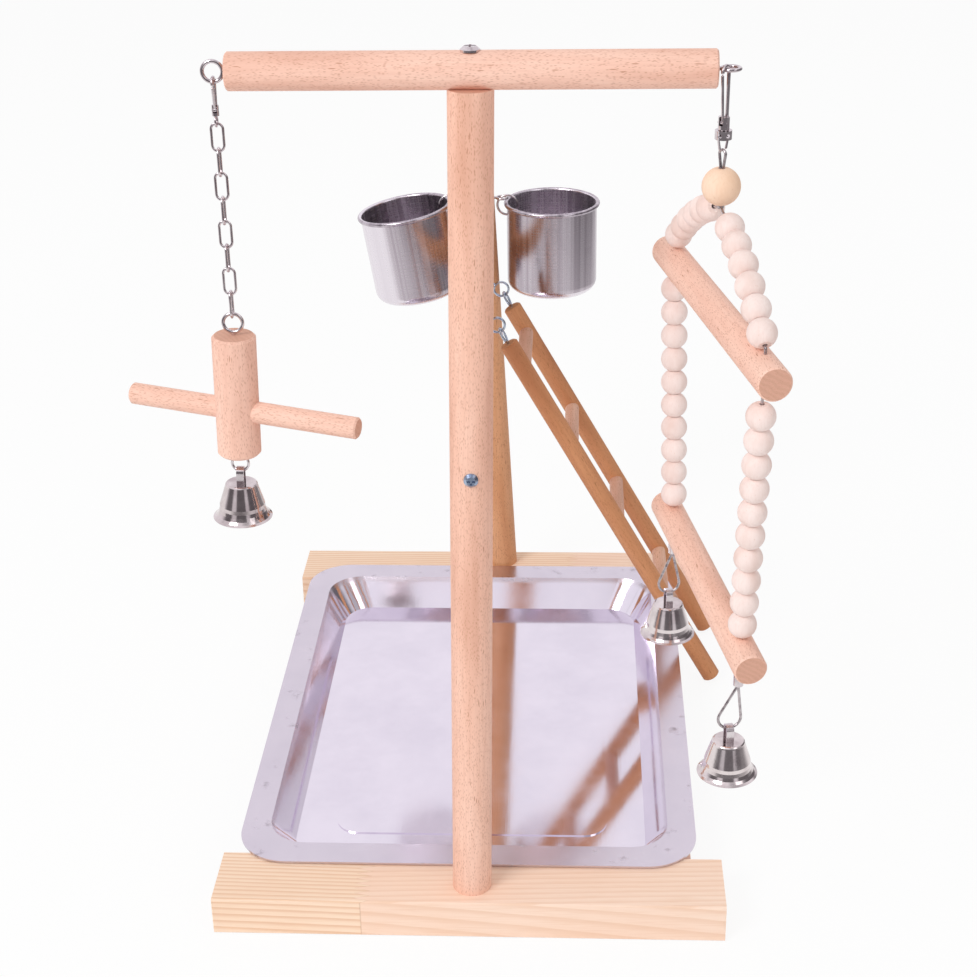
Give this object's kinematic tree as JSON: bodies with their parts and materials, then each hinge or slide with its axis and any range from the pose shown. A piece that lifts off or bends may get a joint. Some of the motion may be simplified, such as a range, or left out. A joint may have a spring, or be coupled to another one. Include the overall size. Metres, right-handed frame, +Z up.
{
  "type": "parrot play stand",
  "caption": "Tabletop wooden play stand for a parrot: crossbar post with chain toy and beaded swing, bridge perch, ladder, hanging steel cups and lift-out tray.",
  "frame": {"origin": "centre of the front batten's underside", "axes": "+Z up, +Y from the front post towards the rear post, +X to the right seen from the front"},
  "size_m": [0.3287, 0.5201, 0.5001],
  "materials": {
    "pine": "raw sanded pine",
    "beech": "raw sanded beech",
    "warm_beech": "raw sanded beech, warmer",
    "bead_wood": "smooth pale wood",
    "tray_steel": "satin stainless",
    "cup_steel": "brushed stainless",
    "cable_steel": "bright wire",
    "zinc": "zinc plated",
    "nickel": "nickel plated"
  },
  "bodies": {
    "stand": {"front_base_batten": "pine", "rear_base_batten": "pine", "left_side_rail": "beech", "right_side_rail": "beech", "front_post": "beech", "rear_post": "warm_beech", "crossbar": "beech", "bridge_perch": "warm_beech", "crossbar_screw": "zinc", "bridge_screws": "zinc", "base_screws": "zinc", "left_end_eye": "nickel", "right_end_eye": "nickel", "ladder_perch_eyes": "zinc", "cup_post_eyes": "nickel"},
    "tray": {"tray": "tray_steel"},
    "ladder": {"near_ladder_rail": "warm_beech", "far_ladder_rail": "warm_beech", "ladder_rungs": "beech", "ladder_rail_eyes": "zinc"},
    "left_cup_ring": {"left_cup_ring": "nickel"},
    "left_cup": {"left_cup": "cup_steel"},
    "right_cup_ring": {"right_cup_ring": "nickel"},
    "right_cup": {"right_cup": "cup_steel"},
    "chain_clip": {"chain_clip": "nickel"},
    "chain_clip_gate": {"chain_clip_gate": "nickel"},
    "chain_link_1": {"chain_link_1": "nickel"},
    "chain_link_2": {"chain_link_2": "nickel"},
    "chain_link_3": {"chain_link_3": "nickel"},
    "chain_link_4": {"chain_link_4": "nickel"},
    "chain_link_5": {"chain_link_5": "nickel"},
    "chain_link_6": {"chain_link_6": "nickel"},
    "chain_link_7": {"chain_link_7": "nickel"},
    "chain_link_8": {"chain_link_8": "nickel"},
    "toy": {"toy_block": "beech", "toy_cross_perch": "beech", "toy_top_eye": "nickel", "toy_bottom_eye": "nickel"},
    "toy_bell": {"toy_bell": "nickel", "toy_bell_strap": "nickel"},
    "toy_bell_clapper": {"toy_bell_clapper": "nickel"},
    "swing_clasp": {"swing_clasp": "nickel"},
    "swing_clasp_gate": {"swing_clasp_gate": "nickel"},
    "swing_swivel": {"swing_swivel": "nickel"},
    "upper_swing": {"swing_cable": "cable_steel", "swing_top_bead": "bead_wood", "upper_string_beads": "bead_wood", "upper_swing_bar": "beech"},
    "lower_swing": {"lower_cables": "cable_steel", "lower_string_beads": "bead_wood", "lower_swing_bar": "beech", "cable_crimps": "nickel"},
    "near_bell": {"near_bell": "nickel", "near_bell_strap": "nickel"},
    "near_bell_clapper": {"near_bell_clapper": "nickel"},
    "far_bell": {"far_bell": "nickel", "far_bell_strap": "nickel"},
    "far_bell_clapper": {"far_bell_clapper": "nickel"}
  },
  "joints": [
    {"name": "tray_lift", "type": "slide", "parent": "stand", "child": "tray", "axis": [0, 0, 1], "range_m": [0, 0.005]},
    {"name": "ladder_swing", "type": "hinge", "parent": "stand", "child": "ladder", "pos_m": [0.00906, 0.256, 0.26519], "axis": [0, -1, 0], "range_deg": [0, 70]},
    {"name": "right_cup_ring_swing", "type": "hinge", "parent": "stand", "child": "right_cup_ring", "pos_m": [0.0116, 0.3855, 0.3103], "axis": [0, -1, 0], "range_deg": [-3, 50]},
    {"name": "right_cup_swing", "type": "hinge", "parent": "right_cup_ring", "child": "right_cup", "pos_m": [0.0116, 0.3855, 0.2981], "axis": [0, -1, 0], "range_deg": [-3, 10]},
    {"name": "left_cup_ring_swing", "type": "hinge", "parent": "stand", "child": "left_cup_ring", "pos_m": [-0.0288, 0.3855, 0.3103], "axis": [0, 1, 0], "range_deg": [-2, 50]},
    {"name": "left_cup_swing", "type": "hinge", "parent": "left_cup_ring", "child": "left_cup", "pos_m": [-0.0288, 0.3855, 0.2981], "axis": [0, 1, 0], "range_deg": [-1.5, 10]},
    {"name": "chain_clip_swing", "type": "hinge", "parent": "stand", "child": "chain_clip", "pos_m": [-0.1089, -0.0044, 0.4842], "axis": [1, 0, 0], "range_deg": [-30, 30]},
    {"name": "chain_clip_gate_swing", "type": "hinge", "parent": "chain_clip", "child": "chain_clip_gate", "pos_m": [-0.1089, -0.00508, 0.47115], "axis": [-1, 0, 0], "range_deg": [0, 15], "stiffness_Nm_per_rad": 0.001, "springref_deg": -11.46},
    {"name": "chain_link_1_swing", "type": "hinge", "parent": "chain_clip", "child": "chain_link_1", "pos_m": [-0.1089, -0.0044, 0.4634], "axis": [0, 1, 0], "range_deg": [-24, 35]},
    {"name": "chain_link_2_swing", "type": "hinge", "parent": "chain_link_1", "child": "chain_link_2", "pos_m": [-0.1089, -0.0044, 0.45145], "axis": [1, 0, 0], "range_deg": [-35, 35]},
    {"name": "chain_link_3_swing", "type": "hinge", "parent": "chain_link_2", "child": "chain_link_3", "pos_m": [-0.1089, -0.0044, 0.4396], "axis": [0, 1, 0], "range_deg": [-31, 35]},
    {"name": "chain_link_4_swing", "type": "hinge", "parent": "chain_link_3", "child": "chain_link_4", "pos_m": [-0.1089, -0.0044, 0.42775], "axis": [1, 0, 0], "range_deg": [-35, 35]},
    {"name": "chain_link_5_swing", "type": "hinge", "parent": "chain_link_4", "child": "chain_link_5", "pos_m": [-0.1089, -0.0044, 0.4159], "axis": [0, 1, 0], "range_deg": [-35, 35]},
    {"name": "chain_link_6_swing", "type": "hinge", "parent": "chain_link_5", "child": "chain_link_6", "pos_m": [-0.1089, -0.0044, 0.40405], "axis": [1, 0, 0], "range_deg": [-35, 35]},
    {"name": "chain_link_7_swing", "type": "hinge", "parent": "chain_link_6", "child": "chain_link_7", "pos_m": [-0.1089, -0.0044, 0.3922], "axis": [0, 1, 0], "range_deg": [-35, 35]},
    {"name": "chain_link_8_swing", "type": "hinge", "parent": "chain_link_7", "child": "chain_link_8", "pos_m": [-0.1089, -0.0044, 0.38035], "axis": [1, 0, 0], "range_deg": [-35, 35]},
    {"name": "toy_swing", "type": "hinge", "parent": "chain_link_8", "child": "toy", "pos_m": [-0.1089, -0.0044, 0.3685], "axis": [0, 1, 0], "range_deg": [-40, 40]},
    {"name": "toy_bell_swing", "type": "hinge", "parent": "toy", "child": "toy_bell", "pos_m": [-0.11123, -0.0044, 0.28503], "axis": [0.9996, 0, -0.0279], "range_deg": [-35, 35]},
    {"name": "toy_clapper_swing", "type": "hinge", "parent": "toy_bell", "child": "toy_bell_clapper", "pos_m": [-0.11148, -0.0044, 0.27601], "axis": [0, 1, 0], "range_deg": [-25, 25]},
    {"name": "swing_clasp_swing", "type": "hinge", "parent": "stand", "child": "swing_clasp", "pos_m": [0.12698, -0.00775, 0.489], "axis": [0.7986, -0.6018, 0], "range_deg": [-20, 20]},
    {"name": "swing_clasp_gate_swing", "type": "hinge", "parent": "swing_clasp", "child": "swing_clasp_gate", "pos_m": [0.12633, -0.00862, 0.465], "axis": [-0.7986, 0.6018, 0], "range_deg": [0, 8], "stiffness_Nm_per_rad": 0.001, "springref_deg": -11.46},
    {"name": "swing_swivel_spin", "type": "hinge", "parent": "swing_clasp", "child": "swing_swivel", "pos_m": [0.12698, -0.00775, 0.4615], "axis": [0, 0, 1], "continuous": true},
    {"name": "swing_cable_swing", "type": "hinge", "parent": "swing_swivel", "child": "upper_swing", "pos_m": [0.12698, -0.00775, 0.4507], "axis": [0.766, 0.6428, 0], "range_deg": [-25, 25]},
    {"name": "lower_bar_swing", "type": "hinge", "parent": "upper_swing", "child": "lower_swing", "pos_m": [0.12698, -0.00775, 0.3656], "axis": [-0.2079, 0.9781, 0], "range_deg": [-20, 20]},
    {"name": "near_bell_swing", "type": "hinge", "parent": "lower_swing", "child": "near_bell", "pos_m": [0.13668, -0.07102, 0.17608], "axis": [0.9781, 0.2079, 0], "range_deg": [-35, 35]},
    {"name": "near_clapper_swing", "type": "hinge", "parent": "near_bell", "child": "near_bell_clapper", "pos_m": [0.13668, -0.07102, 0.1668], "axis": [-0.2079, 0.9781, 0], "range_deg": [-25, 25]},
    {"name": "far_bell_swing", "type": "hinge", "parent": "lower_swing", "child": "far_bell", "pos_m": [0.11205, 0.0544, 0.18295], "axis": [0.9781, 0.2079, 0], "range_deg": [-35, 35]},
    {"name": "far_clapper_swing", "type": "hinge", "parent": "far_bell", "child": "far_bell_clapper", "pos_m": [0.11205, 0.0544, 0.17366], "axis": [-0.2079, 0.9781, 0], "range_deg": [-25, 25]}
  ]
}
